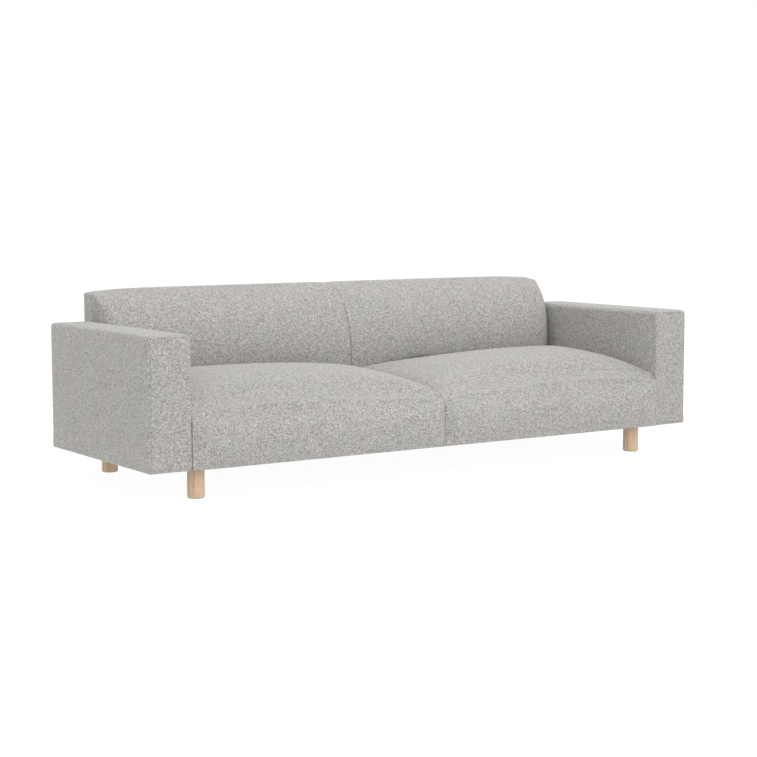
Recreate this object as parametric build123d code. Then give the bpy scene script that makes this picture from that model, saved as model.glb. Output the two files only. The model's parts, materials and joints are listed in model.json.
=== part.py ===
from build123d import *
import os

# Three-seat sofa with a fixed (tight) seat and back and four round wooden legs.
# Millimetres. +X to the right as seen by someone facing the sofa, +Y to the back, +Z up.
# The origin is on the floor under the middle of the whole sofa.
# "left" is the -X side and "right" the +X side.

os.makedirs("parts", exist_ok=True)

# ---- overall sizes ----
overall_width = 2400.0
overall_depth = 880.0
back_height = 682.0        # floor to the crown of the back
arm_height = 565.0         # floor to the top of an arm
seat_height = 412.0        # floor to the crown of the seat
underside_height = 105.0   # floor to the dust cover

# ---- upholstered outline ----
arm_width = 160.0
seat_bulge = 16.0          # how far the seat front stands ahead of the arm fronts
back_overhang = 58.0       # how far the back stands behind the arms
back_thickness = 234.0     # back, front to rear, at seat level
back_top_thickness = 112.0
back_end_drop = 14.0       # the back is this much lower at its ends than at its crown
seat_side_drop = 40.0      # the seat is this much lower at its edges than at its crown
seat_rear_drop = 26.0
seat_shoulder = 150.0      # length of the rolled front edge of the seat, front to back
back_shoulder = 190.0      # height of the rolled front edge of the back
arm_edge_radius = 14.0

# ---- upholstery layers ----
fabric = 2.0
layer_gap = 0.3            # clearance between soft layers
arm_wadding = 12.0
front_wadding = 22.0
dust_cloth = 1.0
turn_under = 32.0          # fabric turned under the bottom edges
dust_lap = 8.0             # the dust cover laps this far over the turned-under fabric
spring_pad_thickness = 6.0

# ---- wooden frame ----
rail_thickness = 28.0
rail_to_crown = 154.0      # top of the seat rails to the crown of the seat
ply_thickness = 24.0
hardboard = 4.0
arm_post_depth = 90.0
arm_rail_height = 32.0
back_post_top = 50.0       # depth of a back post at its top
back_post_foot = 134.0     # depth of a back post from the floor end up to the seat
back_rail_height = 26.0
tack_rail_height = 45.0
block_height = 40.0
block_length = 92.0
block_width = 74.0
frame_lift = 3.0           # frame above the dust cover: fabric turns and staples

# ---- springs and straps ----
spring_wire = 3.8
spring_pitch = 34.0        # from one run of the zigzag to the next
spring_width = 52.0
springs_per_half = 4
clip_plate = 1.2
clip_width = 26.0
tie_wire = 3.0
strap_width = 70.0
strap_thickness = 1.6
straps_per_half = 4

# ---- legs and fasteners ----
leg_diameter = 60.0
leg_inset_x = 55.0         # leg centre, inwards from the arm's inner face
front_leg_setback = 84.0   # leg centre, back from the arm's front face
rear_leg_setback = 30.0    # leg centre, forward from the arm's rear face
leg_chamfer = 1.0
glide_diameter = 54.0
glide_thickness = 2.0
thread = 8.0
bolt_in_leg = 42.0
thread_clearance = 0.1
shank_clearance = 0.5
layer_hole = 5.0           # extra radius of the holes through soft layers
nut_flange = 22.0
nut_flange_thickness = 1.6
nut_barrel = 10.5
nut_length = 13.0
insert_diameter = 14.0
insert_length = 25.0
bolt_head_diameter = 17.0
bolt_head_height = 5.0

# ---- places worked out from the sizes above ----
half_width = overall_width / 2
inner_half = half_width - arm_width
front_y = -overall_depth / 2
rear_y = overall_depth / 2
arm_front_y = front_y + seat_bulge
arm_rear_y = rear_y - back_overhang
back_front_y = rear_y - back_thickness
cover_bottom = underside_height + dust_cloth
frame_bottom = underside_height + frame_lift
body_half = inner_half - layer_gap
frame_half = body_half - fabric - layer_gap
rail_top = seat_height - rail_to_crown
rail_height = rail_top - frame_bottom
wire_z = rail_top + clip_plate + spring_wire / 2 + layer_gap / 2
pad_bottom = wire_z + spring_wire / 2 + clip_plate + layer_gap
deck_top = pad_bottom + spring_pad_thickness
foam_bottom = deck_top + layer_gap
tuck_z = foam_bottom + 28.0
front_rail_y = front_y + fabric + layer_gap + front_wadding
front_rail_back = front_rail_y + rail_thickness
frame_rear_y = rear_y - fabric - layer_gap - hardboard
post_foot_y = frame_rear_y - back_post_foot
post_top_y = frame_rear_y - back_post_top
rear_rail_front = post_foot_y - rail_thickness
post_bend_z = tuck_z + tack_rail_height
post_top_z = back_height - back_end_drop - fabric - 20.0 - back_rail_height
back_rail_top = post_top_z + back_rail_height
side_rail_x = frame_half - rail_thickness
post_x = frame_half - ply_thickness
leg_x = inner_half - leg_inset_x
front_leg_y = arm_front_y + front_leg_setback
rear_leg_y = arm_rear_y - rear_leg_setback
arm_skin = fabric + layer_gap + arm_wadding
arm_frame_x0 = inner_half + arm_skin
arm_frame_x1 = half_width - arm_skin
arm_frame_y0 = arm_front_y + arm_skin
arm_frame_y1 = arm_rear_y - arm_skin
arm_frame_top = arm_height - arm_skin
arm_bolt_yz = [
    (arm_frame_y0 + arm_post_depth - 25.0, frame_bottom + rail_height * 0.6),
    (arm_frame_y1 - arm_post_depth * 0.36, frame_bottom + rail_height * 0.6),
    (arm_frame_y1 - arm_post_depth * 0.2, (tuck_z + arm_height) / 2),
]


def save(name, *shapes):
    """Write one node: one solid, or a group of like solids."""
    solids = [solid for shape in shapes for solid in shape.solids()]
    result = solids[0] if len(solids) == 1 else Compound(children=solids)
    export_step(result, f"parts/{name}.step")


def block(x0, x1, y0, y1, z0, z1):
    """A box given by its lowest and highest corners."""
    centre = Pos((x0 + x1) / 2, (y0 + y1) / 2, (z0 + z1) / 2)
    return centre * Box(x1 - x0, y1 - y0, z1 - z0)


def rod(x, y, z0, z1, diameter):
    """An upright round bar."""
    return Pos(x, y, (z0 + z1) / 2) * Cylinder(diameter / 2, z1 - z0)


def cross_rod(x0, x1, y, z, diameter):
    """A round bar along X."""
    turned = Pos((x0 + x1) / 2, y, z) * Rot(0, 90, 0)
    return turned * Cylinder(diameter / 2, abs(x1 - x0))


def mirrored(shape):
    """The same piece on the other side of the sofa."""
    return mirror(shape, about=Plane.YZ)


def save_pair(name, right_shape):
    """Write the right-hand piece and its mirror image."""
    save(f"{name}_right", right_shape)
    save(f"{name}_left", mirrored(right_shape))


def outline(x, *edges):
    """A flat face in the plane X = x from edges drawn in (y, z)."""
    plane = Plane(origin=(x, 0, 0), x_dir=(0, 1, 0), z_dir=(1, 0, 0))
    return plane * make_face(Wire(list(edges)))


def swell(share):
    """How full a cushion is across its width: 0 at its two edges, 1 in the middle."""
    return 1.0 - abs(2.0 * share - 1.0) ** 2.5


# ---- the two crowned bodies: every seat and back layer is cut from these ----
def seat_section(x, full, inset):
    """Side outline of a seat half, front apron to the face of the back."""
    top = seat_height - seat_side_drop * (1.0 - full) - inset
    nose = front_y + 10.0 * (1.0 - full) + inset
    rear = back_front_y - layer_gap - inset
    floor = cover_bottom + inset
    crown_y = front_y + 0.58 * (back_front_y - front_y)
    drop = top - floor
    rolled = Spline(
        (nose, floor + 0.42 * drop),
        (nose + 0.02 * seat_shoulder, floor + (0.58 - 0.02 * full) * drop),
        (nose + 0.14 * seat_shoulder, floor + (0.72 - 0.01 * full) * drop),
        (nose + 0.45 * seat_shoulder, floor + (0.835 + 0.005 * full) * drop),
        (nose + 1.30 * seat_shoulder, floor + (0.91 + 0.04 * full) * drop),
        (crown_y, top),
        (rear, top - seat_rear_drop * full),
    )
    face = Line((nose, floor), rolled @ 0)
    back = Line(rolled @ 1, (rear, floor))
    under = Line((rear, floor), (nose, floor))
    return outline(x, face, rolled, back, under)


def seat_body(inset, seam_inset):
    """Right half of the seat as one crowned block."""
    x0 = seam_inset
    x1 = body_half - inset
    shares = (0.0, 0.08, 0.25, 0.5, 0.75, 0.92, 1.0)
    return loft([seat_section(x0 + t * (x1 - x0), swell(t), inset) for t in shares])


def back_section(x, full, inset):
    """Side outline of a back half: rolled front edge, flat rear, foot behind the seat."""
    top = back_height - back_end_drop * (1.0 - full) - inset
    face_y = back_front_y + inset
    rear = rear_y - inset
    floor = cover_bottom + inset
    foot_y = post_foot_y + inset
    under = tuck_z + inset
    top_front = rear_y - back_top_thickness + inset
    rolled = Spline(
        (face_y, top - back_shoulder),
        (face_y + 0.42 * (top_front - face_y), top - 0.42 * back_shoulder),
        (top_front, top),
        tangents=[(0, 1), (1, 0.12)],
    )
    flat_top = Line((top_front, top), (rear - 12.0, top))
    corner = Line((rear - 12.0, top), (rear, top - 12.0))
    edges = [Line((face_y, under), rolled @ 0), rolled, flat_top, corner]
    corners = [(rear, top - 12.0), (rear, floor), (foot_y, floor), (foot_y, under), (face_y, under)]
    edges += [Line(a, b) for a, b in zip(corners, corners[1:])]
    return outline(x, *edges)


def back_body(inset, seam_inset):
    """Right half of the back as one crowned block."""
    x0 = seam_inset
    x1 = body_half - inset
    shares = (0.0, 0.12, 0.5, 0.88, 1.0)
    return loft([back_section(x0 + t * (x1 - x0), swell(t), inset) for t in shares])


def back_frame_space():
    """Everything behind the back foam: posts, rails, straps and their clearance."""
    clear = strap_thickness + spring_pad_thickness + 4 * layer_gap
    low_y = post_foot_y - ply_thickness - clear
    top_y = post_top_y - clear
    top_z = back_rail_top + layer_gap
    points = [
        (low_y, cover_bottom - 50.0),
        (low_y, post_bend_z + 2.0),
        (top_y, post_top_z),
        (top_y, top_z),
        (rear_y + 50.0, top_z),
        (rear_y + 50.0, cover_bottom - 50.0),
    ]
    return slab(points, -half_width, half_width)


def slab(points, x0, x1):
    """A plate between x0 and x1 with the given (y, z) outline."""
    closed = points + points[:1]
    face = outline(x0, *[Line(a, b) for a, b in zip(closed, closed[1:])])
    return extrude(face, amount=x1 - x0, dir=(1, 0, 0))


def arm_bolt_holes(extra_radius):
    """Clearance holes for the right arm's bolts through whatever they cross."""
    x0 = post_x - 60.0
    return [cross_rod(x0, arm_frame_x1, y, z, thread + 2 * extra_radius) for y, z in arm_bolt_yz]


# ---- seat frame ----
def seat_front_rail():
    return block(-frame_half, frame_half, front_rail_y, front_rail_back, frame_bottom, rail_top)


def seat_rear_rail():
    return block(-side_rail_x, side_rail_x, rear_rail_front, post_foot_y, frame_bottom, rail_top)


def seat_side_rail():
    rail = block(side_rail_x, frame_half, front_rail_back, post_foot_y, frame_bottom, rail_top)
    return rail - arm_bolt_holes(shank_clearance)


def seat_centre_stretcher():
    x = rail_thickness / 2
    top = rail_top - 40.0
    return block(-x, x, front_rail_back, rear_rail_front, frame_bottom, top)


def leg_block(leg_y, y0, y1, outer_x):
    """Hardwood block that a leg screws into, bored for its nut."""
    body = block(outer_x - block_width, outer_x, y0, y1, frame_bottom, frame_bottom + block_height)
    top = frame_bottom + block_height
    body -= rod(leg_x, leg_y, frame_bottom, top, thread + 2 * shank_clearance)
    return body - rod(leg_x, leg_y, top - nut_length, top, nut_barrel + 2 * thread_clearance)


def front_leg_block():
    return leg_block(front_leg_y, front_rail_back, front_rail_back + block_length, side_rail_x)


def rear_leg_block():
    return leg_block(rear_leg_y, post_foot_y, post_foot_y + block_length + 12.0, post_x)


# ---- back frame ----
def back_post(x0, x1):
    """Plywood post: deep foot behind the seat, then leaning up to the top rail."""
    points = [
        (post_foot_y, frame_bottom),
        (post_foot_y, post_bend_z),
        (post_top_y, post_top_z),
        (frame_rear_y, post_top_z),
        (frame_rear_y, frame_bottom),
    ]
    return slab(points, x0, x1)


def back_end_post():
    return back_post(post_x, frame_half) - arm_bolt_holes(shank_clearance)


def back_top_rail():
    return block(-frame_half, frame_half, post_top_y, frame_rear_y, post_top_z, back_rail_top)


def back_tack_rail():
    front = post_foot_y - ply_thickness
    return block(-frame_half, frame_half, front, post_foot_y, tuck_z, post_bend_z)


def outside_back_board():
    return block(-frame_half, frame_half, frame_rear_y, frame_rear_y + hardboard, frame_bottom, back_rail_top)


# ---- arm frames ----
def arm_panel(x0):
    return block(x0, x0 + hardboard, arm_frame_y0, arm_frame_y1, frame_bottom, arm_frame_top)


def arm_inner_panel():
    return arm_panel(arm_frame_x0) - arm_bolt_holes(shank_clearance)


def arm_outer_panel():
    return arm_panel(arm_frame_x1 - hardboard)


def arm_post(y0, y1):
    x0 = arm_frame_x0 + hardboard
    post = block(x0, arm_frame_x1 - hardboard, y0, y1, frame_bottom, arm_frame_top)
    bore = insert_diameter + 2 * thread_clearance
    for y, z in arm_bolt_yz:
        post -= cross_rod(x0, x0 + insert_length, y, z, bore)
    return post


def arm_rail(z0, z1):
    y0 = arm_frame_y0 + arm_post_depth
    y1 = arm_frame_y1 - arm_post_depth
    return block(arm_frame_x0 + hardboard, arm_frame_x1 - hardboard, y0, y1, z0, z1)


# ---- springs, straps and pads ----
def zigzag_spring(x):
    """A sinuous steel spring from the front rail to the rear rail."""
    y0 = (front_rail_y + front_rail_back) / 2
    y1 = (rear_rail_front + post_foot_y) / 2
    runs = 2 * round((y1 - y0) / spring_pitch / 2)
    pitch = (y1 - y0) / runs
    half = spring_width / 2
    points = []
    for i in range(runs + 1):
        side = half if i % 2 else -half
        points += [(x + (side if i else -half), y0 + i * pitch), (x - side, y0 + i * pitch)]
    path = FilletPolyline(*[(px, py, wire_z) for px, py in points], radius=0.46 * pitch)
    ring = Plane(origin=path @ 0, z_dir=path % 0) * Circle(spring_wire / 2)
    return sweep(ring, path=path)


def spring_centres():
    """Where the springs of the right half stand, left to right."""
    bay = side_rail_x - rail_thickness
    step = bay / springs_per_half
    return [rail_thickness / 2 + step * (i + 0.5) for i in range(springs_per_half)]


def seat_springs():
    first = zigzag_spring(0.0)
    return [Pos(x, 0, 0) * first for x in spring_centres()]


def spring_clip(x, y, facing):
    """Bent steel clip that holds the end run of a spring on a rail."""
    inside = spring_wire / 2 + layer_gap / 2
    outside = inside + clip_plate
    tube = cross_rod(x - clip_width / 2, x + clip_width / 2, y, wire_z, 2 * outside)
    plate = block(
        x - clip_width / 2, x + clip_width / 2, y - 10.0, y + 10.0, rail_top, rail_top + clip_plate
    )
    reach = sorted((y, y + facing * 30.0))
    slot = block(x - clip_width, x + clip_width, *reach, rail_top + clip_plate, wire_z + 20)
    bore = cross_rod(x - clip_width, x + clip_width, y, wire_z, 2 * inside)
    return plate + (tube - slot - bore)


def spring_clips():
    y0 = (front_rail_y + front_rail_back) / 2
    y1 = (rear_rail_front + post_foot_y) / 2
    right = [spring_clip(x, y, side) for x in spring_centres() for y, side in ((y0, 1), (y1, -1))]
    return right + [mirrored(clip) for clip in right]


def spring_tie_wires():
    z = wire_z - spring_wire / 2 - tie_wire / 2
    reach = side_rail_x
    depth = rear_rail_front - front_rail_back
    places = [front_rail_back + depth / 3, front_rail_back + depth * 2 / 3]
    return [cross_rod(-reach, reach, y, z, tie_wire) for y in places]


def seat_spring_pad():
    y1 = post_foot_y - ply_thickness - layer_gap
    return block(-frame_half, frame_half, front_rail_y, y1, pad_bottom, deck_top)


def along_lean(offset, thickness, top, x0, x1):
    """A flat layer up the leaning edge of the back posts and on up the top rail."""
    low, high = post_foot_y - offset, post_top_y - offset
    points = [
        (low - thickness, post_bend_z),
        (high - thickness, post_top_z),
        (high - thickness, top),
        (high, top),
        (high, post_top_z),
        (low, post_bend_z),
    ]
    return slab(points, x0, x1)


def back_straps():
    """Elastic straps from the tack rail up to the top rail."""
    step = (post_x - ply_thickness / 2) / straps_per_half
    first = ply_thickness / 2 + step / 2
    centres = [first + i * step for i in range(straps_per_half)]
    top = back_rail_top - 4.0
    half = strap_width / 2
    return [along_lean(0.0, strap_thickness, top, x - half, x + half) for x in centres]


def back_strap_pad():
    offset = strap_thickness + layer_gap
    return along_lean(offset, spring_pad_thickness, back_rail_top - 6.0, -frame_half, frame_half)


# ---- foam ----
def seat_foam():
    skin = fabric + layer_gap
    body = seat_body(skin, layer_gap)
    return body - block(-10, half_width, front_y - 50, rear_y, 0, foam_bottom)


def seat_front_wadding():
    skin = fabric + layer_gap
    body = seat_body(skin, layer_gap)
    body -= block(-10, half_width, front_y - 50, rear_y, deck_top, seat_height + 50)
    return body - block(-10, half_width, front_rail_y, rear_y, 0, seat_height)


def back_foam():
    body = back_body(fabric + layer_gap, layer_gap)
    body -= back_frame_space()
    return body - block(-10, half_width, back_front_y - 50, rear_y + 50, 0, tuck_z + fabric)


def arm_box(inset):
    """The arm's outer shape, moved in by an inset, with its edges rounded."""
    body = block(
        inner_half + inset,
        half_width - inset,
        arm_front_y + inset,
        arm_rear_y - inset,
        cover_bottom + inset,
        arm_height - inset,
    )
    return fillet(body.edges(), max(arm_edge_radius - inset, 2.0))


def arm_padding():
    core = block(arm_frame_x0, arm_frame_x1, arm_frame_y0, arm_frame_y1, 0, arm_frame_top)
    return arm_box(fabric + layer_gap) - core - arm_bolt_holes(layer_hole)


# ---- covers ----
def seat_cover():
    """Sewn fabric over a seat half, down the front and turned under the front rail."""
    cover = seat_body(0.0, 0.0) - seat_body(fabric, -fabric)
    lip_y = front_y + turn_under
    cover -= block(-10, half_width, lip_y, rear_y, 0, foam_bottom)
    return cover - block(-10, half_width, back_front_y - fabric - 1.0, rear_y, 0, tuck_z)


def back_cover():
    """Sewn fabric over the face, top and end of a back half."""
    cover = back_body(0.0, 0.0) - back_body(fabric, -fabric)
    end_x = body_half - fabric
    cover -= block(-10, end_x, back_front_y - 10, rear_y + 10, 0, tuck_z + fabric)
    cover -= block(-10, half_width, rear_y - fabric, rear_y + 10, 0, outside_back_top())
    floor = cover_bottom + fabric
    cover -= block(-10, end_x, post_foot_y - 10, rear_y - fabric, 0, floor)
    return cover - arm_bolt_holes(layer_hole)


def outside_back_top():
    return back_height - back_end_drop - 30.0


def outside_back_cover():
    return block(-body_half, body_half, rear_y - fabric, rear_y, cover_bottom, outside_back_top())


def arm_cover():
    cover = arm_box(0.0) - arm_box(fabric)
    cover -= block(
        inner_half + turn_under,
        half_width - turn_under,
        arm_front_y + turn_under,
        arm_rear_y - turn_under,
        0,
        cover_bottom + 2 * fabric,
    )
    return cover - arm_bolt_holes(layer_hole)


def dust_cover():
    edge = turn_under - dust_lap
    sheet = block(
        -half_width + edge,
        half_width - edge,
        arm_front_y + edge,
        arm_rear_y - edge,
        underside_height,
        underside_height + dust_cloth,
    )
    wing = block(
        -inner_half + edge,
        inner_half - edge,
        arm_rear_y - edge,
        rear_y - edge,
        underside_height,
        cover_bottom,
    )
    sheet += wing
    for x, y in leg_places():
        sheet -= rod(x, y, 0, frame_bottom + 10, leg_diameter + 4.0)
    return sheet


# ---- legs ----
def leg_places():
    """Centres of the four legs."""
    return [(side * leg_x, y) for y in (front_leg_y, rear_leg_y) for side in (-1, 1)]


def leg(x, y):
    """Plain turned oak cylinder with eased rims, bored for its hanger bolt."""
    body = rod(x, y, glide_thickness, frame_bottom, leg_diameter)
    body = chamfer(body.edges().filter_by(GeomType.CIRCLE), leg_chamfer)
    bore = thread + 2 * thread_clearance
    return body - rod(x, y, frame_bottom - bolt_in_leg, frame_bottom, bore)


def leg_bolts():
    top = frame_bottom + block_height
    return [rod(x, y, frame_bottom - bolt_in_leg, top - 2.0, thread) for x, y in leg_places()]


def leg_nuts():
    """T-nuts pressed into the tops of the leg blocks."""
    top = frame_bottom + block_height
    nuts = []
    for x, y in leg_places():
        nut = rod(x, y, top - nut_length, top, nut_barrel)
        nut += rod(x, y, top, top + nut_flange_thickness, nut_flange)
        nuts.append(nut - rod(x, y, 0, top + 10, thread + 2 * thread_clearance))
    return nuts


def leg_glides():
    return [rod(x, y, 0, glide_thickness, glide_diameter) for x, y in leg_places()]


# ---- arm fixings ----
def bolt_seat_x(y):
    """Inner face that an arm bolt's head bears on: a back post, or a side rail in front of it."""
    return post_x if y > post_foot_y else side_rail_x


def arm_bolts():
    bolts = []
    for y, z in arm_bolt_yz:
        x0 = bolt_seat_x(y)
        end = arm_frame_x0 + hardboard + insert_length - 3.0
        bolt = cross_rod(x0, end, y, z, thread)
        bolts.append(bolt + cross_rod(x0 - bolt_head_height, x0, y, z, bolt_head_diameter))
    return bolts + [mirrored(bolt) for bolt in bolts]


def arm_inserts():
    """Threaded steel sleeves in the arm posts."""
    x0 = arm_frame_x0 + hardboard
    sleeves = []
    for y, z in arm_bolt_yz:
        sleeve = cross_rod(x0, x0 + insert_length, y, z, insert_diameter)
        sleeves.append(sleeve - cross_rod(x0, x0 + insert_length, y, z, thread + 2 * thread_clearance))
    return sleeves + [mirrored(sleeve) for sleeve in sleeves]


def make_frame():
    save("seat_front_rail", seat_front_rail())
    save("seat_rear_rail", seat_rear_rail())
    save_pair("seat_side_rail", seat_side_rail())
    save("seat_centre_stretcher", seat_centre_stretcher())
    save_pair("leg_block_front", front_leg_block())
    save_pair("leg_block_rear", rear_leg_block())
    save_pair("back_post", back_end_post())
    save("back_post_centre", back_post(-ply_thickness / 2, ply_thickness / 2))
    save("back_top_rail", back_top_rail())
    save("back_tack_rail", back_tack_rail())
    save("outside_back_board", outside_back_board())


def make_arm_frames():
    y0, y1 = arm_frame_y0, arm_frame_y1
    save_pair("arm_inner_panel", arm_inner_panel())
    save_pair("arm_outer_panel", arm_outer_panel())
    save_pair("arm_front_post", arm_post(y0, y0 + arm_post_depth))
    save_pair("arm_rear_post", arm_post(y1 - arm_post_depth, y1))
    save_pair("arm_top_rail", arm_rail(arm_frame_top - arm_rail_height, arm_frame_top))
    save_pair("arm_bottom_rail", arm_rail(frame_bottom, frame_bottom + arm_rail_height))


def make_suspension():
    springs = seat_springs()
    save("seat_springs_right", *springs)
    save("seat_springs_left", *[mirrored(spring) for spring in springs])
    save("spring_clips", *spring_clips())
    save("spring_tie_wires", *spring_tie_wires())
    straps = back_straps()
    save("back_straps_right", *straps)
    save("back_straps_left", *[mirrored(strap) for strap in straps])
    save("seat_spring_pad", seat_spring_pad())
    save("back_strap_pad", back_strap_pad())


def make_soft_parts():
    save_pair("seat_foam", seat_foam())
    save_pair("seat_front_wadding", seat_front_wadding())
    save_pair("back_foam", back_foam())
    save_pair("arm_padding", arm_padding())
    save_pair("seat_cover", seat_cover())
    save_pair("back_cover", back_cover())
    save_pair("arm_cover", arm_cover())
    save("outside_back_cover", outside_back_cover())
    save("dust_cover", dust_cover())


def make_legs_and_fixings():
    names = ("leg_front_left", "leg_front_right", "leg_rear_left", "leg_rear_right")
    for name, (x, y) in zip(names, leg_places()):
        save(name, leg(x, y))
    save("leg_bolts", *leg_bolts())
    save("leg_nuts", *leg_nuts())
    save("leg_glides", *leg_glides())
    save("arm_bolts", *arm_bolts())
    save("arm_inserts", *arm_inserts())


make_frame()
make_arm_frames()
make_suspension()
make_soft_parts()
make_legs_and_fixings()
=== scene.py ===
import json
import math

import bmesh
import bpy
from bpy.props import FloatProperty, IntProperty, PointerProperty, StringProperty
from mathutils import Matrix, Vector


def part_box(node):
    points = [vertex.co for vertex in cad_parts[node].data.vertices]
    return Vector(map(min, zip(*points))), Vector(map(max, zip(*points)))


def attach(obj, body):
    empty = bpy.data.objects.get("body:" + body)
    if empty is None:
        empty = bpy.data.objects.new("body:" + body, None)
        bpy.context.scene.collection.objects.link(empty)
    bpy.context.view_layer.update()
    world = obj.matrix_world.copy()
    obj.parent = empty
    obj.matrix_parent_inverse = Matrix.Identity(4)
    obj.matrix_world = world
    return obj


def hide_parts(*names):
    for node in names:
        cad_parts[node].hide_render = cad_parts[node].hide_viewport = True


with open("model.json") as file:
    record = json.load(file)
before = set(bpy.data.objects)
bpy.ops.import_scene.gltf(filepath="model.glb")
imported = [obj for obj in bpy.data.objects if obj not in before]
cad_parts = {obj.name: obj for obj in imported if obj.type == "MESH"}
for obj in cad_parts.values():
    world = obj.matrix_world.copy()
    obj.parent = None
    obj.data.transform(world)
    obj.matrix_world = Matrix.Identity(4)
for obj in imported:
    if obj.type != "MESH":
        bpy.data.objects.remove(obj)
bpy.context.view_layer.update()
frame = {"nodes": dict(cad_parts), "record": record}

bl_info = {
    "name": "Three-Seat Sofa with Wooden Legs",
    "version": (1, 0, 0),
    "blender": (4, 5, 0),
    "location": "View3D > Sidebar > Sofa",
    "description": "Upholsters the packed sofa frame and sets up a plain studio",
    "category": "Object",
}

BODY = "root"
MM = 0.001


# ---------------------------------------------------------------- colours and nodes
def linear(hex_colour, alpha=1.0):
    """An sRGB hex colour as linear red, green, blue and alpha."""
    parts = [int(hex_colour[i:i + 2], 16) / 255.0 for i in (1, 3, 5)]
    curve = [p / 12.92 if p <= 0.04045 else ((p + 0.055) / 1.055) ** 2.4 for p in parts]
    return (*curve, alpha)


def add_node(tree, kind, settings=None, links=None):
    """Add one node, give its properties and inputs their values, and link its inputs."""
    node = tree.nodes.new(kind)
    for key, value in (settings or {}).items():
        if isinstance(key, str) and hasattr(node, key):
            setattr(node, key, value)
        else:
            node.inputs[key].default_value = value
    for key, source in (links or {}).items():
        tree.links.new(source, node.inputs[key])
    return node


def new_material(name):
    """An empty node material and its tree."""
    material = bpy.data.materials.new(name)
    material.use_nodes = True
    material.node_tree.nodes.clear()
    return material, material.node_tree


def finish_material(tree, settings, links):
    """The shader and output that every material ends in."""
    shader = add_node(tree, "ShaderNodeBsdfPrincipled", settings, links)
    add_node(tree, "ShaderNodeOutputMaterial", links={"Surface": shader.outputs[0]})


def object_place(tree):
    """Position on the sofa, in metres."""
    return add_node(tree, "ShaderNodeTexCoord").outputs["Object"]


def noise(tree, place, scale, detail, distortion=0.0):
    """Cloudy noise over a position."""
    settings = {"Scale": scale, "Detail": detail, "Distortion": distortion}
    return add_node(tree, "ShaderNodeTexNoise", settings, {"Vector": place})


def multiply(tree, factor, first, second):
    """One colour darkened by another."""
    settings = {"data_type": "RGBA", "blend_type": "MULTIPLY", 0: factor}
    return add_node(tree, "ShaderNodeMix", settings, {6: first, 7: second}).outputs[2]


def relief(tree, height, strength, distance):
    """Bumps from a height, as a normal."""
    settings = {"Strength": strength, "Distance": distance}
    return add_node(tree, "ShaderNodeBump", settings, {"Height": height}).outputs[0]


def ramp(tree, source, stops):
    """A colour ramp over hex colours, given as (position, colour) pairs."""
    node = add_node(tree, "ShaderNodeValToRGB", links={"Fac": source})
    elements = node.color_ramp.elements
    elements[0].position = stops[0][0]
    elements[1].position = stops[-1][0]
    for position, _ in stops[1:-1]:
        elements.new(position)
    for element, (_, colour) in zip(elements, stops):
        element.color = linear(colour)
    return node.outputs["Color"]


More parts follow.
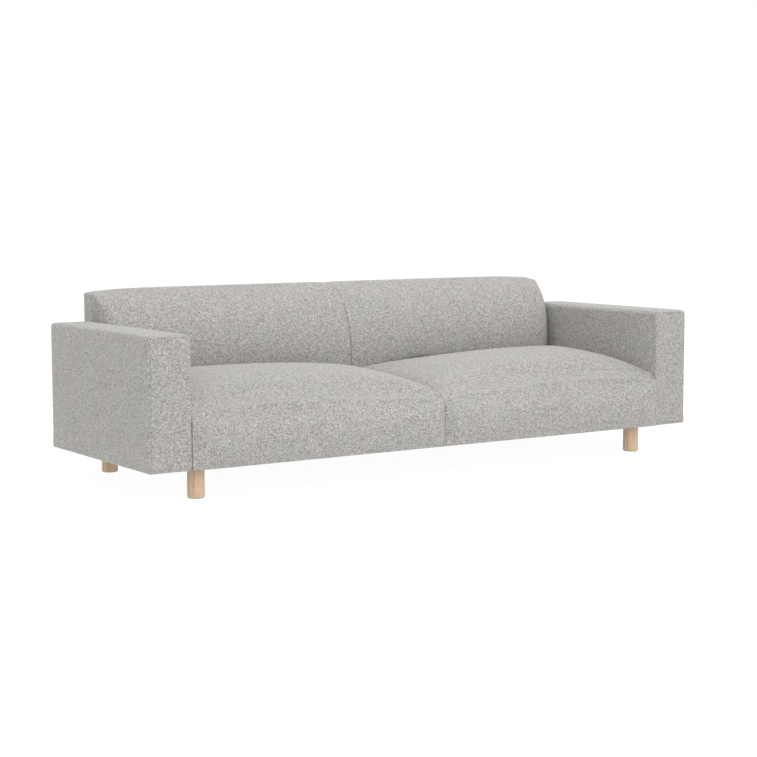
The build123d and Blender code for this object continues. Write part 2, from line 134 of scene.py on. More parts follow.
# ---------------------------------------------------------------- sizes and colours
class SofaSizes(bpy.types.PropertyGroup):
    """Sizes of the upholstery, in metres, that the CAD box doesn't already give."""

    cell: FloatProperty(
        name="Cloth cell", description="Spacing of the mesh that the cushions are made from",
        default=16 * MM, unit="LENGTH", min=6 * MM, max=40 * MM)
    seam_radius: FloatProperty(
        name="Seam radius", description="Rounding where a cover turns in at a sewn edge",
        default=5 * MM, unit="LENGTH")
    back_seam_radius: FloatProperty(
        name="Back seam radius", description="The same on the back, whose seams are pulled deeper",
        default=8 * MM, unit="LENGTH")
    seat_edge_drop: FloatProperty(
        name="Seat edge drop", description="How far the seat's sewn edges lie below its crown",
        default=39 * MM, unit="LENGTH")
    seat_seam_drop: FloatProperty(
        name="Seat seam drop", description="How far the seat's centre seam lies below its crown",
        default=74 * MM, unit="LENGTH")
    seat_roll_drop: FloatProperty(
        name="Seat roll drop", description="How far the seat's edge falls towards the front",
        default=66 * MM, unit="LENGTH")
    seat_roll_length: FloatProperty(
        name="Seat roll length", description="Distance over which the seat rolls down to the front",
        default=185 * MM, unit="LENGTH")
    seat_belly: FloatProperty(
        name="Seat belly", description="How much larger that radius is midway between the sewn ends",
        default=50 * MM, unit="LENGTH")
    seat_shoulder: FloatProperty(
        name="Seat shoulder", description="Radius of the seat's front edge at its sewn ends",
        default=40 * MM, unit="LENGTH")
    back_nose: FloatProperty(
        name="Back nose", description="Height of the leaning upper front of the back",
        default=282 * MM, unit="LENGTH")
    back_edge_drop: FloatProperty(
        name="Back edge drop", description="How far the back's sewn top edges lie below its crown",
        default=5 * MM, unit="LENGTH")
    end_radius_low: FloatProperty(
        name="Back corner at seat", description="Radius of the back's corner beside the arm, at the seat",
        default=88 * MM, unit="LENGTH")
    end_radius_top: FloatProperty(
        name="Back corner at top", description="Radius of the back's corner beside the arm, at its top",
        default=15 * MM, unit="LENGTH")
    back_top_depth: FloatProperty(
        name="Back top depth", description="Back, front to rear, along its top",
        default=93 * MM, unit="LENGTH")
    arm_radius: FloatProperty(
        name="Arm edge radius", description="Rounding of an arm's edges",
        default=15 * MM, unit="LENGTH")
    arm_seam: FloatProperty(
        name="Arm seam", description="Seam of an arm's front panel, in from its outer edges",
        default=9 * MM, unit="LENGTH")
    stitch: FloatProperty(
        name="Seam width", description="Width of the furrow that a sewn seam pulls in",
        default=5 * MM, unit="LENGTH")
    seam_depth: FloatProperty(
        name="Seam depth", description="Depth of that furrow",
        default=2.5 * MM, unit="LENGTH")
    leg_ease: FloatProperty(
        name="Leg edge", description="Rounding of a leg's lower rim",
        default=1.2 * MM, unit="LENGTH")
    bolt_bore: FloatProperty(
        name="Leg bore", description="Hole in a leg for its hanger bolt",
        default=8.4 * MM, unit="LENGTH")
    bolt_depth: FloatProperty(
        name="Leg bore depth", description="Depth of that hole",
        default=42.2 * MM, unit="LENGTH")
    loop: FloatProperty(
        name="Yarn loop", description="Width of one loop of the fabric's yarn",
        default=3.6 * MM, unit="LENGTH")
    dust_sag: FloatProperty(
        name="Dust cover sag", description="How far the cloth under the frame hangs between its staples",
        default=3 * MM, unit="LENGTH")
    frames: IntProperty(
        name="Cloth frames", description="Frames that a cushion inflates for", default=20, min=4, max=60)


class SofaColours(bpy.types.PropertyGroup):
    """Colours of the visible finishes, as sRGB hex."""

    fabric_light: StringProperty(
        name="Pale yarn", description="Palest loops of the fabric", default="#c7c6c4")
    fabric_mid: StringProperty(
        name="Middle yarn", description="Most of the fabric's loops", default="#b4b2b0")
    fabric_dark: StringProperty(
        name="Dark yarn", description="Darkest loops of the fabric", default="#999794")
    oak_light: StringProperty(
        name="Oak light", description="Early wood of the legs", default="#cfb494")
    oak_dark: StringProperty(
        name="Oak dark", description="Late wood of the legs", default="#ad8b66")
    floor: StringProperty(
        name="Floor", description="Studio floor", default="#4a4a4a")


def sizes():
    return bpy.context.scene.sofa_sizes


def colours():
    return bpy.context.scene.sofa_colours


# ---------------------------------------------------------------- materials
def boucle_wool():
    """Woven boucle in wool and cotton: uneven loops, pale and dark flecks, no gloss."""
    found = bpy.data.materials.get("boucle_wool")
    if found:
        return found
    material, tree = new_material("boucle_wool")
    loop = sizes().loop
    place = object_place(tree)
    # A wandering lookup bends the rows of loops, as yarn that is never quite straight.
    wander = noise(tree, place, 0.35 / loop, 1.0)
    halfway = {"operation": "SUBTRACT", 1: (0.5, 0.5, 0.5)}
    centred = add_node(tree, "ShaderNodeVectorMath", halfway, {0: wander.outputs["Color"]})
    reach = {"operation": "SCALE", "Scale": loop * 2.4}
    offset = add_node(tree, "ShaderNodeVectorMath", reach, {0: centred.outputs[0]})
    bent = add_node(tree, "ShaderNodeVectorMath", {"operation": "ADD"}, {0: place, 1: offset.outputs[0]})
    loops = add_node(
        tree, "ShaderNodeTexVoronoi", {"Scale": 1.0 / loop, "Randomness": 0.9}, {"Vector": bent.outputs[0]})
    fluff = noise(tree, place, 2.2 / loop, 2.0)
    shade = add_node(tree, "ShaderNodeSeparateColor", links={"Color": loops.outputs["Color"]}).outputs[0]
    c = colours()
    yarn = ramp(tree, shade, [
        (0.0, c.fabric_dark),
        (0.22, c.fabric_dark),
        (0.42, c.fabric_mid),
        (0.66, c.fabric_mid),
        (0.95, c.fabric_light),
    ])
    # Shadow between the loops, and slow patches where the dye took a little warmer or cooler.
    gap = ramp(tree, loops.outputs["Distance"], [(0.25, "#ffffff"), (0.85, "#c4c2c0")])
    patch = noise(tree, place, 9.0, 3.0)
    tint = ramp(tree, patch.outputs["Fac"], [(0.35, "#f6f8f6"), (0.65, "#fbf8f7")])
    tinted = multiply(tree, 1.0, multiply(tree, 0.8, yarn, gap), tint)
    height = add_node(
        tree, "ShaderNodeMath", {"operation": "MULTIPLY_ADD", 1: -0.8},
        {0: loops.outputs["Distance"], 2: fluff.outputs["Fac"]}).outputs[0]
    finish_material(
        tree,
        {"Roughness": 0.95, "Specular IOR Level": 0.2, "Sheen Weight": 0.25, "Sheen Roughness": 0.5},
        {"Base Color": tinted, "Normal": relief(tree, height, 0.4, 1.2 * MM)})
    return material


def along_grain(tree, across, lengthways, along):
    """A position scaled by across, but by lengthways on the axis that the grain follows."""
    scale = [across] * 3
    scale[along] = lengthways
    return add_node(tree, "ShaderNodeMapping", {"Scale": scale}, {"Vector": object_place(tree)}).outputs[0]


def wood(name, light, dark, ring, along, roughness, pore):
    """Sawn or turned timber with its grain along one axis: 0 is X, 1 is Y, 2 is Z."""
    material, tree = new_material(name)
    rings = noise(tree, along_grain(tree, 1.0 / ring, 0.06 / ring, along), 0.55, 3.0, 0.6)
    pores = noise(tree, along_grain(tree, 2.6 / pore, 0.09 / pore, along), 0.5, 2.0)
    colour = ramp(tree, rings.outputs["Fac"], [(0.3, light), (0.52, light), (0.72, dark)])
    streak = ramp(tree, pores.outputs["Fac"], [(0.36, "#b9a58f"), (0.5, "#ffffff")])
    finish_material(
        tree,
        {"Roughness": roughness, "IOR": 1.5},
        {"Base Color": multiply(tree, 0.55, colour, streak),
         "Normal": relief(tree, pores.outputs["Fac"], 0.25, 0.3 * MM)})
    return material


def lacquered_oak():
    """Turned white oak under clear matt lacquer: pale honey with fine darker pores along the leg."""
    c = colours()
    return wood("lacquered_oak", c.oak_light, c.oak_dark, 11 * MM, 2, 0.5, 1.1 * MM)


def sawn_pine(name, along):
    """Rough-sawn pine: wide pale bands, dry and matt."""
    return wood(name, "#e3c99a", "#c79d63", 22 * MM, along, 0.8, 1.6 * MM)


def birch_plywood():
    """Birch plywood on edge and face: even, pale, close-grained."""
    return wood("birch_plywood", "#dcc39b", "#bd9a6c", 9 * MM, 2, 0.75, 1.4 * MM)


def speckled(name, light, dark, grain, roughness, metallic=0.0, strength=0.2):
    """A close-grained surface: two tones of speckle and a little relief at the same size."""
    material, tree = new_material(name)
    speck = noise(tree, object_place(tree), 1.0 / grain, 3.0).outputs["Fac"]
    colour = ramp(tree, speck, [(0.38, dark), (0.62, light)])
    finish_material(
        tree,
        {"Roughness": roughness, "Metallic": metallic},
        {"Base Color": colour, "Normal": relief(tree, speck, strength, grain * 0.3)})
    return material


def woven_strap():
    """Elastic webbing: black polyester with rubber threads, ribbed along each strap."""
    material, tree = new_material("woven_strap")
    settings = {"Scale": 60.0, "Distortion": 0.4, "bands_direction": "X"}
    rib = add_node(tree, "ShaderNodeTexWave", settings, {"Vector": object_place(tree)}).outputs["Fac"]
    colour = ramp(tree, rib, [(0.2, "#1c1c1e"), (0.8, "#3a3a3d")])
    finish_material(
        tree, {"Roughness": 0.85}, {"Base Color": colour, "Normal": relief(tree, rib, 0.4, 0.6 * MM)})
    return material


def spun_bonded_cloth():
    """Spun-bonded polypropylene: thin black cloth with a stamped dot pattern."""
    material, tree = new_material("spun_bonded_cloth")
    settings = {"Scale": 280.0, "Randomness": 0.15}
    stamped = add_node(tree, "ShaderNodeTexVoronoi", settings, {"Vector": object_place(tree)})
    dots = stamped.outputs["Distance"]
    colour = ramp(tree, dots, [(0.2, "#121213"), (0.5, "#262628")])
    finish_material(
        tree, {"Roughness": 0.9}, {"Base Color": colour, "Normal": relief(tree, dots, 0.3, 0.4 * MM)})
    return material


# ---------------------------------------------------------------- soft shapes
def cut_places(low, high, cell, edge):
    """Where planes cut a side: even cells, and closer ones beside each end."""
    near = [edge * share for share in (0.25, 0.55, 1.0)]
    count = max(1, round((high - low - 2 * edge) / cell))
    even = [low + edge + (high - low - 2 * edge) * i / count for i in range(1, count)]
    return [low + d for d in near] + even + [high - d for d in reversed(near)]


def cut_across(bm, axis, place):
    """Cut everything with a plane square to an axis."""
    normal = Vector([float(i == axis) for i in range(3)])
    everything = bm.verts[:] + bm.edges[:] + bm.faces[:]
    bmesh.ops.bisect_plane(bm, geom=everything, plane_co=normal * place, plane_no=normal)


def cut_block(low, high, edge, extra=()):
    """A box from its two corners, cut into cells by planes, with extra (axis, place) cuts."""
    bm = bmesh.new()
    bmesh.ops.create_cube(bm, size=1.0)
    size = [b - a for a, b in zip(low, high)]
    bmesh.ops.scale(bm, vec=size, verts=bm.verts)
    bmesh.ops.translate(bm, vec=[(a + b) / 2 for a, b in zip(low, high)], verts=bm.verts)
    cell = sizes().cell
    cuts = [(axis, place) for axis in range(3) for place in cut_places(low[axis], high[axis], cell, edge)]
    for axis, place in cuts + list(extra):
        cut_across(bm, axis, place)
    return bm


def pull_onto_radius(vert, low, high, radius):
    """Move a point of a box's surface onto the box with its edges rounded."""
    core = Vector([min(max(vert.co[i], low[i] + radius), high[i] - radius) for i in range(3)])
    away = vert.co - core
    if away.length > radius:
        vert.co = core + away.normalized() * radius


def round_edges(bm, low, high, radius):
    """Round every edge of a cut box by pulling its outer cells onto the radius."""
    for vert in bm.verts:
        pull_onto_radius(vert, low, high, radius)


def smooth_step(low, high, value):
    """0 below low, 1 above high, and a soft curve between."""
    t = min(max((value - low) / (high - low), 0.0), 1.0)
    return t * t * (3.0 - 2.0 * t)


def mesh_object(name, bm):
    """A new object from a bmesh, smooth shaded, at the origin."""
    bmesh.ops.recalc_face_normals(bm, faces=bm.faces)
    mesh = bpy.data.meshes.new(name)
    bm.to_mesh(mesh)
    bm.free()
    for polygon in mesh.polygons:
        polygon.use_smooth = True
    made = bpy.data.objects.new(name, mesh)
    bpy.context.scene.collection.objects.link(made)
    return made


def relax(mesh, free, passes):
    """Even out a cushion's free surface, leaving its seams and the points next to them alone."""
    bm = bmesh.new()
    bm.from_mesh(mesh)
    loose = [v for v in bm.verts if v.index in free]
    inner = [v for v in loose if all(e.other_vert(v).index in free for e in v.link_edges)]
    for _ in range(passes):
        bmesh.ops.smooth_vert(
            bm, verts=inner, factor=0.5, use_axis_x=True, use_axis_y=True, use_axis_z=True)
    bm.to_mesh(mesh)
    bm.free()


def inflate(cushion, held, rise, top, fullness, passes):
    """Let the cover swell under pressure with its sewn parts held, then set how far it swelled.

    held(point) is 1 where the cover is sewn or stapled and 0 where it is free.
    rise is the greatest swell wanted, and nothing ends up higher than top. A fullness under 1
    makes the cover climb faster beside its seams, as over firm foam. Passes of smoothing follow.
    """
    mesh = cushion.data
    start = [vert.co.copy() for vert in mesh.vertices]
    group = cushion.vertex_groups.new(name="sewn")
    free = set()
    for vert in mesh.vertices:
        weight = held(vert.co)
        if weight > 0.0:
            group.add([vert.index], weight, "REPLACE")
        else:
            free.add(vert.index)
    cloth = cushion.modifiers.new("Cloth", "CLOTH")
    settings = cloth.settings
    settings.quality = 6
    settings.mass = 0.4
    settings.tension_stiffness = 12.0
    settings.compression_stiffness = 12.0
    settings.shear_stiffness = 6.0
    settings.bending_stiffness = 3.0
    settings.use_pressure = True
    settings.uniform_pressure_force = 4.0
    settings.effector_weights.gravity = 0.0
    settings.vertex_group_mass = "sewn"
    frames = sizes().frames
    cloth.point_cache.frame_start = 1
    cloth.point_cache.frame_end = frames
    scene = bpy.context.scene
    for number in range(1, frames + 1):
        scene.frame_set(number)
    depsgraph = bpy.context.evaluated_depsgraph_get()
    swollen = [vert.co.copy() for vert in cushion.evaluated_get(depsgraph).data.vertices]
    cushion.modifiers.remove(cloth)
    scene.frame_set(1)
    moves = [b - a for a, b in zip(start, swollen)]
    most = max(max(move.length for move in moves), 1e-6)
    for vert, place, move in zip(mesh.vertices, start, moves):
        swell = rise * (move.length / most) ** fullness
        vert.co = place + move.normalized() * swell
        vert.co.z = min(vert.co.z, top)
    cushion.vertex_groups.clear()
    relax(mesh, free, passes)


def soften(cushion):
    """One level of subdivision, the same in the view and the render."""
    subdivide = cushion.modifiers.new("Subdivision", "SUBSURF")
    subdivide.levels = 1
    subdivide.render_levels = 1


def mirrored_copy(source, name):
    """The same cushion for the other side of the sofa."""
    bm = bmesh.new()
    bm.from_mesh(source.data)
    bmesh.ops.scale(bm, vec=(-1.0, 1.0, 1.0), verts=bm.verts)
    return mesh_object(name, bm)


def upholster(cushion, nodes):
    """Put the fabric on a cushion and let it stand for its CAD nodes."""
    soften(cushion)
    cushion.data.materials.append(boucle_wool())
    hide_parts(*nodes)
    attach(cushion, BODY)


# ---------------------------------------------------------------- seat
def seat_edge_height(distance, across, crown):
    """Height of the seat's sewn edges at a distance behind its front.

    across runs from 0 at the centre seam, which is pulled down hard, to 1 at the arm.
    """
    s = sizes()
    edge = s.seat_seam_drop + (s.seat_edge_drop - s.seat_seam_drop) * across
    roll = s.seat_roll_drop * (0.64 + 0.36 * across) * (1.0 - 0.6 * belly(across))
    return crown - edge - roll * math.exp(-distance / s.seat_roll_length)


def belly(across):
    """0 at a cushion's sewn ends and 1 midway between them."""
    return 4.0 * across * (1.0 - across)


def make_seat(name):
    """Right half of the seat: a box bent to its sewn edges, then swollen by pressure."""
    s = sizes()
    low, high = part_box("seat_cover_right")
    back_low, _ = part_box("back_cover_right")
    tack_low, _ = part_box("back_tack_rail")
    crown = high.z
    rear = tack_low.y - 6 * MM
    front = low.y + 10 * MM
    tuck = back_low.y - front
    box_low = Vector((0.2 * MM, front, low.z))
    box_high = Vector((high.x, rear, low.z + 0.25))
    bm = cut_block(box_low, box_high, s.seam_radius)
    round_edges(bm, box_low, box_high, s.seam_radius)
    height = box_high.z - box_low.z
    dive_depth = 32 * MM
    for vert in bm.verts:
        distance = vert.co.y - front
        share = (vert.co.z - box_low.z) / height
        across = vert.co.x / box_high.x
        # Behind the face of the back the seat dives under it.
        dive = dive_depth * smooth_step(tuck + 4 * MM, tuck + 60 * MM, distance)
        top = seat_edge_height(distance, across, crown) - dive
        shoulder = s.seat_shoulder + s.seat_belly * belly(across)
        z = box_low.z + share * (top - box_low.z)
        # Roll the front edge: near the top, points close to the front lean back on an arc.
        depth_to_top = top - z
        if distance < shoulder and depth_to_top < shoulder:
            u = 1.0 - distance / shoulder
            v = 1.0 - depth_to_top / shoulder
            longest = math.hypot(u, v)
            if longest > 1e-6:
                squeeze = max(u, v) / longest
                u, v = u * squeeze, v * squeeze
                distance = shoulder * (1.0 - u)
                z = top - shoulder * (1.0 - v)
        vert.co = Vector((vert.co.x, front + distance, z))
    seat = mesh_object(name, bm)
    hidden = back_low.y + 30 * MM

    def held(point):
        inside = box_low.x + 1.5 * MM < point.x < box_high.x - 1.5 * MM
        if not inside or point.z < box_low.z + 4 * MM or point.y > rear - 4 * MM:
            return 1.0
        return smooth_step(hidden - 40 * MM, hidden + 40 * MM, point.y)

    middle = seat_edge_height(rear - front, 0.5, crown)
    inflate(seat, held, rise=crown - middle + 3 * MM, top=crown - 0.5 * MM, fullness=0.66, passes=2)
    return seat


class SOFA_OT_seat(bpy.types.Operator):
    """Make both seat halves: crowned, rolled over the front rail and sewn together in the middle"""

    bl_idname = "sofa.seat"
    bl_label = "Seat"
    bl_options = {"REGISTER", "UNDO"}

    def execute(self, context):
        right = make_seat("seat_right")
        left = mirrored_copy(right, "seat_left")
        for side, cushion in (("right", right), ("left", left)):
            nodes = [f"seat_cover_{side}", f"seat_foam_{side}", f"seat_front_wadding_{side}"]
            upholster(cushion, nodes)
        return {"FINISHED"}


# ---------------------------------------------------------------- back
def back_climb(z, crown):
    """How far up the back's leaning part a height is, from 0 at its foot to 1 at its top edge."""
    s = sizes()
    return min(max((z - crown + s.back_nose) / (s.back_nose - s.back_edge_drop), 0.0), 1.0)


def make_back(name):
    """Right half of the back: leaning face, flat rear, and a rounded end beside the arm."""
    s = sizes()
    low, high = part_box("back_cover_right")
    post_low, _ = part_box("back_post_right")
    under = 318 * MM
    seat_rise = 44 * MM
    end_fall = 9 * MM
    cell_steps = (9.0, 14.0, 28.0, 46.0)
    box_low = Vector((0.2 * MM, low.y, low.z))
    box_high = Vector((high.x, high.y - 1.5 * MM, high.z - s.back_edge_drop))
    near_arm = [(0, box_high.x - step * MM) for step in cell_steps]
    bm = cut_block(box_low, box_high, s.back_seam_radius, near_arm)
    round_edges(bm, box_low, box_high, s.back_seam_radius)
    depth = box_high.y - box_low.y
    travel = high.y - s.back_top_depth - low.y

    def sole_height(x):
        """Underside of the back above the seat: lowest at the centre seam, where the seat is lowest."""
        return under + seat_rise * smooth_step(0.0, 0.36, x)

    for vert in bm.verts:
        climb = back_climb(vert.co.z, high.z)
        lean = travel * (1.0 - (1.0 - climb ** 2.0) ** (1 / 1.3))
        corner = s.end_radius_low + (s.end_radius_top - s.end_radius_low) * climb ** 1.2
        over = max(vert.co.x - (box_high.x - corner), 0.0)
        turn = corner - math.sqrt(max(0.0, corner * corner - over * over))
        sole = sole_height(vert.co.x)
        foot = (post_low.y - box_low.y) * (1.0 - smooth_step(sole - 12 * MM, sole, vert.co.z))
        share = (box_high.y - vert.co.y) / depth
        vert.co.y += max(lean + turn, foot) * share
        end_drop = end_fall * smooth_step(box_high.x - 0.32, box_high.x, vert.co.x)
        vert.co.z -= end_drop * smooth_step(high.z - 0.15, high.z, vert.co.z)
    back = mesh_object(name, bm)

    def held(point):
        inside = box_low.x + 1.5 * MM < point.x < box_high.x - 1.5 * MM
        if not inside or point.z < sole_height(point.x) + 12 * MM or point.y > box_high.y - 4 * MM:
            return 1.0
        return 0.0

    inflate(back, held, rise=12 * MM, top=high.z - 0.5 * MM, fullness=0.85, passes=2)
    return back


class SOFA_OT_back(bpy.types.Operator):
    """Make both back halves and the panel that closes the outside of the back"""

    bl_idname = "sofa.back"
    bl_label = "Back"
    bl_options = {"REGISTER", "UNDO"}

    def execute(self, context):
        right = make_back("back_right")
        left = mirrored_copy(right, "back_left")
        for side, cushion in (("right", right), ("left", left)):
            upholster(cushion, [f"back_cover_{side}", f"back_foam_{side}"])
        low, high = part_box("outside_back_cover")
        inset = 4 * MM
        low = Vector((low.x + inset, high.y - 9 * MM, low.z))
        high = Vector((high.x - inset, high.y + 1 * MM, high.z))
        bm = cut_block(low, high, 4 * MM)
        round_edges(bm, low, high, 4 * MM)
        panel = mesh_object("outside_back", bm)
        upholster(panel, ["outside_back_cover"])
        return {"FINISHED"}


# ---------------------------------------------------------------- arms
def make_arm(name):
    """Right arm: flat sides, eased edges that tighten beside the seat, and a sewn-in front panel."""
    s = sizes()
    low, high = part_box("arm_cover_right")
    low = low + Vector((0.2 * MM, 0, 0))
    seam_x = high.x - s.arm_seam
    seams_z = (low.z + s.arm_seam, high.z - s.arm_seam)
    half_seam = s.stitch / 2
    furrow = [(0, seam_x + step) for step in (-half_seam, 0.0, half_seam)]
    furrow += [(2, place + step) for place in seams_z for step in (-half_seam, 0.0, half_seam)]
    bm = cut_block(low, high, s.arm_radius, furrow)
    for vert in bm.verts:
        inner = 1.0 - smooth_step(low.x, low.x + 50 * MM, vert.co.x)
        forward = 1.0 - smooth_step(low.y + 20 * MM, low.y + 90 * MM, vert.co.y)
        lower = 1.0 - smooth_step(low.z, low.z + 60 * MM, vert.co.z)
        radius = s.arm_radius * (1.0 - 0.8 * inner * forward * (1.0 - smooth_step(0.45, 0.55, vert.co.z)))
        radius += 4 * MM * inner * (1.0 - forward)
        radius *= 1.0 - 0.35 * lower
        pull_onto_radius(vert, low, high, radius)
    centre = (low + high) / 2
    half = (high - low) / 2
    pillow = 1.6 * MM
    for vert in bm.verts:
        x, y, z = vert.co
        on_front = y < low.y + s.arm_radius * 0.6
        on_seam = abs(x - seam_x) < MM and seams_z[0] - MM < z < seams_z[1] + MM
        on_seam = on_seam or (x < seam_x + MM and min(abs(z - place) for place in seams_z) < MM)
        if on_front and on_seam:
            vert.co.y += s.seam_depth
            continue
        away = [(vert.co[i] - centre[i]) / half[i] for i in range(3)]
        for axis, ways in ((0, (1,)), (1, (-1, 1)), (2, (1,))):
            way = 1 if away[axis] > 0 else -1
            if abs(away[axis]) > 0.93 and way in ways:
                others = [1.0 - abs(away[i]) ** 4 for i in range(3) if i != axis]
                vert.co[axis] += way * pillow * max(others[0], 0.0) * max(others[1], 0.0)
    return mesh_object(name, bm)


class SOFA_OT_arms(bpy.types.Operator):
    """Make both arms"""

    bl_idname = "sofa.arms"
    bl_label = "Arms"
    bl_options = {"REGISTER", "UNDO"}

    def execute(self, context):
        right = make_arm("arm_right")
        left = mirrored_copy(right, "arm_left")
        for side, arm in (("right", right), ("left", left)):
            upholster(arm, [f"arm_cover_{side}", f"arm_padding_{side}"])
        return {"FINISHED"}


# ---------------------------------------------------------------- legs
def make_leg(node):
    """A turned leg: its profile spun round its own axis, with the bolt's bore in its top."""
    s = sizes()
    low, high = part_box(node)
    centre = (low + high) / 2
    radius = (high.x - low.x) / 2
    ease = s.leg_ease
    bore = s.bolt_bore / 2
    profile = [
        (0.0, low.z),
        (radius * 0.5, low.z),
        (radius - ease, low.z),
        (radius - ease * 0.3, low.z + ease * 0.3),
        (radius, low.z + ease),
        (radius, low.z + ease * 2),
        (radius, high.z - ease),
        (radius, high.z),
        (bore, high.z),
        (bore, high.z - s.bolt_depth),
        (0.0, high.z - s.bolt_depth),
    ]
    bm = bmesh.new()
    points = [bm.verts.new((centre.x + out, centre.y, z)) for out, z in profile]
    for first, second in zip(points, points[1:]):
        bm.edges.new((first, second))
    outline = bm.verts[:] + bm.edges[:]
    bmesh.ops.spin(
        bm, geom=outline, cent=centre, axis=(0, 0, 1), angle=math.tau, steps=72, use_merge=True)
    bmesh.ops.remove_doubles(bm, verts=bm.verts, dist=0.02 * MM)
    leg = mesh_object(f"turned_{node}", bm)
    for edge in leg.data.edges:
        ends = [leg.data.vertices[i].co for i in edge.vertices]
        level = abs(ends[0].z - ends[1].z) < 1e-6
        edge.use_edge_sharp = level and (ends[0].z > high.z - MM or ends[0].z < low.z + MM * 0.1)
    return leg


class SOFA_OT_legs(bpy.types.Operator):
    """Make the four turned oak legs"""

    bl_idname = "sofa.legs"
    bl_label = "Legs"
    bl_options = {"REGISTER", "UNDO"}

    def execute(self, context):
        oak = lacquered_oak()
        for node in ("leg_front_left", "leg_front_right", "leg_rear_left", "leg_rear_right"):
            leg = make_leg(node)
            leg.data.materials.append(oak)
            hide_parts(node)
            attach(leg, BODY)
        return {"FINISHED"}


# ---------------------------------------------------------------- CAD nodes that stay
class SOFA_OT_frame(bpy.types.Operator):
    """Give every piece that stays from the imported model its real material"""

    bl_idname = "sofa.frame"
    bl_label = "Frame"
    bl_options = {"REGISTER", "UNDO"}

    def execute(self, context):
        self.pine_across = sawn_pine("sawn_pine_across", 0)
        self.pine_deep = sawn_pine("sawn_pine_front_to_back", 1)
        self.pine_upright = sawn_pine("sawn_pine_upright", 2)
        self.plywood = birch_plywood()
        finishes = {
            "hardboard": speckled("pressed_hardboard", "#7a5c3f", "#5d442d", 2.5 * MM, 0.7),
            "spring_steel": speckled("drawn_spring_steel", "#6c6e70", "#4b4d50", 1.5 * MM, 0.38, 1.0, 0.05),
            "zinc_steel": speckled("zinc_plated_steel", "#c9ccce", "#a9adb0", 3.0 * MM, 0.32, 1.0, 0.05),
            "felt": speckled("needled_felt", "#77777a", "#4d4d51", 1.6 * MM, 0.95, 0.0, 0.6),
            "glide_felt": speckled("dense_wool_felt", "#5a4d42", "#3c332b", 1.2 * MM, 0.95, 0.0, 0.6),
            "webbing": woven_strap(),
        }
        slots = {row["node"]: row["material_slot"] for row in frame["record"]["subparts"]}
        for name, node in frame["nodes"].items():
            finish = self.timber(name) if slots[name] == "frame_wood" else finishes.get(slots[name])
            if finish is None:
                continue
            node.data.materials.clear()
            node.data.materials.append(finish)
        return {"FINISHED"}

    def timber(self, name):
        """Pine with its grain along the piece, or plywood for the shaped back posts."""
        if name.startswith("back_post"):
            return self.plywood
        if name.startswith(("arm_front_post", "arm_rear_post")):
            return self.pine_upright
        deep = name.startswith(("arm_top", "arm_bottom", "leg_block"))
        if deep or "side_rail" in name or "stretcher" in name:
            return self.pine_deep
        return self.pine_across


# ---------------------------------------------------------------- dust cover
class SOFA_OT_dust_cover(bpy.types.Operator):
    """The black cloth stapled under the frame, slack between the rails"""

    bl_idname = "sofa.dust_cover"
    bl_label = "Dust cover"
    bl_options = {"REGISTER", "UNDO"}

    def execute(self, context):
        sag = context.scene.sofa_sizes.dust_sag
        low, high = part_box("dust_cover")
        span = high - low
        bm = bmesh.new()
        bm.from_mesh(frame["nodes"]["dust_cover"].data)
        bmesh.ops.remove_doubles(bm, verts=bm.verts, dist=0.01 * MM)
        bmesh.ops.dissolve_limit(bm, angle_limit=math.radians(1.0), verts=bm.verts, edges=bm.edges)
        for axis, count in ((0, 40), (1, 16)):
            for step in range(1, count):
                cut_across(bm, axis, low[axis] + span[axis] * step / count)
        for vert in bm.verts:
            along = (vert.co.x - low.x) / span.x
            deep = (vert.co.y - low.y) / span.y
            hang = abs(math.sin(3.0 * math.pi * along)) * math.sin(math.pi * deep)
            vert.co.z -= sag * hang
        cloth = mesh_object("dust_cloth", bm)
        cloth.data.materials.append(spun_bonded_cloth())
        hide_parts("dust_cover")
        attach(cloth, BODY)
        return {"FINISHED"}


    def cut_area(self, span):
        """The cloth as it is cut: a rectangle less a corner behind each arm and a hole round each leg."""
        slack = 2 * MM
        arm_low, arm_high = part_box("arm_cover_right")
        panel_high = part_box("outside_back_cover")[1]
        leg_low, leg_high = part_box("leg_front_right")
        corner = (arm_high.x - arm_low.x) * (panel_high.y - arm_high.y)
        hole = math.pi * ((leg_high.x - leg_low.x) / 2 + slack) ** 2
        return span.x * span.y - 2 * corner - 4 * hole


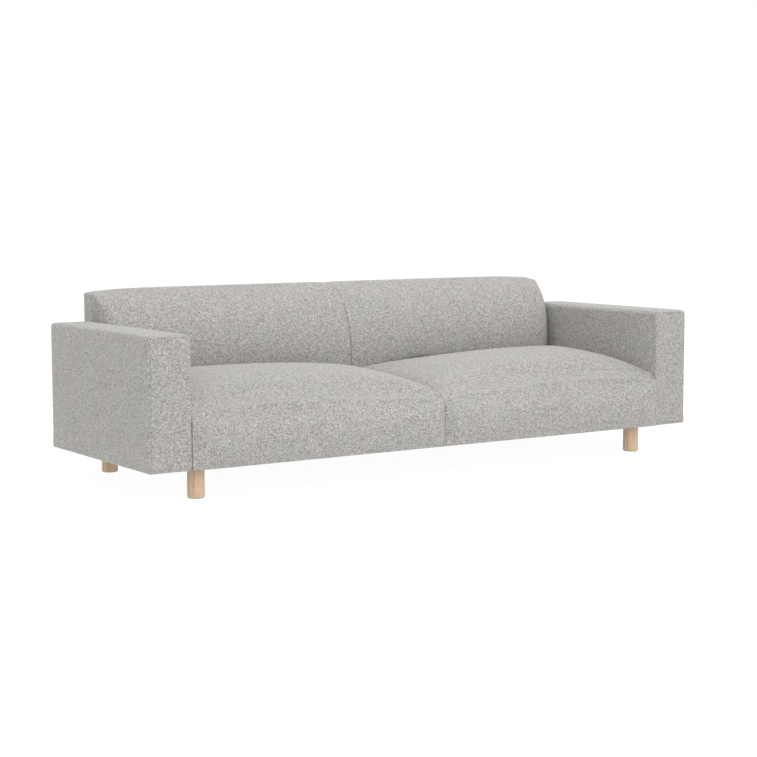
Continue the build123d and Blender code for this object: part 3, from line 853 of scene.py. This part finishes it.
# ---------------------------------------------------------------- studio
class SOFA_OT_studio(bpy.types.Operator):
    """Set up the pale floor, the soft lights and the camera"""

    bl_idname = "sofa.studio"
    bl_label = "Studio"
    bl_options = {"REGISTER", "UNDO"}

    def execute(self, context):
        self.floor()
        self.lights(context.scene)
        self.camera(context.scene)
        return {"FINISHED"}

    def floor(self):
        bm = bmesh.new()
        bmesh.ops.create_grid(bm, x_segments=1, y_segments=1, size=30.0)
        ground = mesh_object("studio_floor", bm)
        material, tree = new_material("studio_floor_paint")
        finish_material(
            tree,
            {"Base Color": linear(colours().floor), "Roughness": 0.9, "Specular IOR Level": 0.0,
             "Emission Color": (1.0, 1.0, 1.0, 1.0), "Emission Strength": 0.97}, {})
        ground.data.materials.append(material)

    def lights(self, scene):
        world = bpy.data.worlds.new("studio_sky")
        world.use_nodes = True
        world.node_tree.nodes.clear()
        white = {"Color": (1.0, 1.0, 1.0, 1.0), "Strength": 1.0}
        sky = add_node(world.node_tree, "ShaderNodeBackground", white)
        add_node(world.node_tree, "ShaderNodeOutputWorld", links={"Surface": sky.outputs[0]})
        scene.world = world
        scene.view_settings.view_transform = "Standard"
        for name, place, target, width, power in (
            ("overhead_softbox", (0.6, -1.2, 4.2), (0.0, 0.0, 0.4), 4.0, 60.0),
            ("front_softbox", (-0.8, -5.0, 2.2), (0.0, 0.0, 0.4), 3.0, 60.0),
        ):
            data = bpy.data.lights.new(name, "AREA")
            data.size = width
            data.energy = power
            lamp = bpy.data.objects.new(name, data)
            lamp.location = place
            lamp.rotation_euler = (Vector(target) - Vector(place)).to_track_quat("-Z", "Y").to_euler()
            scene.collection.objects.link(lamp)

    def camera(self, scene):
        """A long lens at sitting height off the left front corner."""
        heading = math.radians(33.6)
        tilt = math.radians(5.84)
        roll = math.radians(-0.126)
        flat = math.cos(tilt)
        ahead = Vector((math.sin(heading) * flat, math.cos(heading) * flat, -math.sin(tilt)))
        level = Vector((math.cos(heading), -math.sin(heading), 0.0))
        upward = level.cross(ahead)
        across = level * math.cos(roll) + upward * math.sin(roll)
        lens = bpy.data.cameras.new("studio_camera")
        lens.lens = 81.9
        lens.clip_end = 100.0
        camera = bpy.data.objects.new("studio_camera", lens)
        turn = Matrix((across, (-ahead).cross(across), -ahead)).transposed()
        camera.matrix_world = Matrix.Translation((-3.678, -5.520, 1.000)) @ turn.to_4x4()
        scene.collection.objects.link(camera)
        scene.camera = camera


class SOFA_PT_panel(bpy.types.Panel):
    """Sofa sizes, colours and pieces"""

    bl_label = "Sofa"
    bl_idname = "SOFA_PT_panel"
    bl_space_type = "VIEW_3D"
    bl_region_type = "UI"
    bl_category = "Sofa"

    def draw(self, context):
        layout = self.layout
        for group in (context.scene.sofa_sizes, context.scene.sofa_colours):
            for key in group.bl_rna.properties.keys():
                if key not in ("rna_type", "name"):
                    layout.prop(group, key)
        for operator in OPERATORS:
            layout.operator(operator.bl_idname)


OPERATORS = (SOFA_OT_frame, SOFA_OT_legs, SOFA_OT_seat, SOFA_OT_back, SOFA_OT_arms, SOFA_OT_dust_cover,
             SOFA_OT_studio)
CLASSES = (SofaSizes, SofaColours, *OPERATORS, SOFA_PT_panel)


def register():
    for entry in CLASSES:
        bpy.utils.register_class(entry)
    bpy.types.Scene.sofa_sizes = PointerProperty(type=SofaSizes)
    bpy.types.Scene.sofa_colours = PointerProperty(type=SofaColours)


def unregister():
    del bpy.types.Scene.sofa_colours
    del bpy.types.Scene.sofa_sizes
    for entry in reversed(CLASSES):
        bpy.utils.unregister_class(entry)


def main():
    register()
    bpy.ops.sofa.frame()
    bpy.ops.sofa.legs()
    bpy.ops.sofa.seat()
    bpy.ops.sofa.back()
    bpy.ops.sofa.arms()
    bpy.ops.sofa.dust_cover()
    bpy.ops.sofa.studio()


if __name__ == "__main__":
    main()
